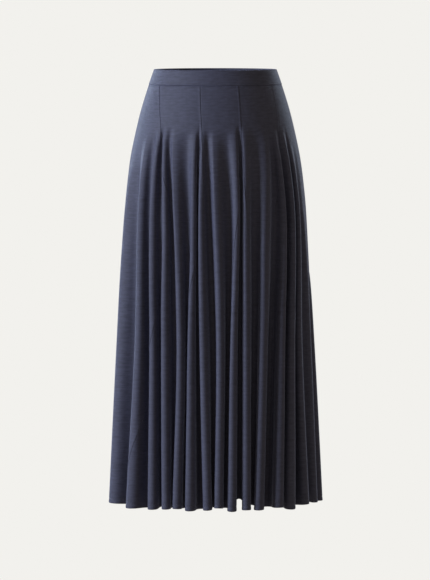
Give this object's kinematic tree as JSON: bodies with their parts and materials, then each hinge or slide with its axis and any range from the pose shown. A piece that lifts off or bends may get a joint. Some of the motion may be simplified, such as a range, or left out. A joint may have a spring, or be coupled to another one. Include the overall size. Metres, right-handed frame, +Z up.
{
  "type": "godet maxi skirt",
  "caption": "Long flared jersey skirt with a waistband, narrow gores and godets that fall in deep flutes, hanging open as worn.",
  "frame": {"origin": "the middle of the waist opening, level with the waistband's top edge, where a wearer or a stand holds the skirt up", "axes": "+Z up along the skirt, +X to the right as seen from the front, and the front faces -Y"},
  "size_m": [0.4643, 0.3393, 0.942],
  "materials": {
    "jersey": "soft matt knit with a faint sheen",
    "waistband": "the same knit, folded over elastic"
  },
  "bodies": {
    "root": {"waistband": "waistband", "gore_side_left": "jersey", "gore_front_left": "jersey", "gore_front_centre": "jersey", "gore_front_right": "jersey", "gore_side_right": "jersey", "gore_back_right": "jersey", "gore_back_centre": "jersey", "gore_back_left": "jersey", "godet_front_left_outer": "jersey", "godet_front_left_inner": "jersey", "godet_front_right_inner": "jersey", "godet_front_right_outer": "jersey", "godet_back_right_outer": "jersey", "godet_back_right_inner": "jersey", "godet_back_left_inner": "jersey", "godet_back_left_outer": "jersey"}
  },
  "joints": []
}
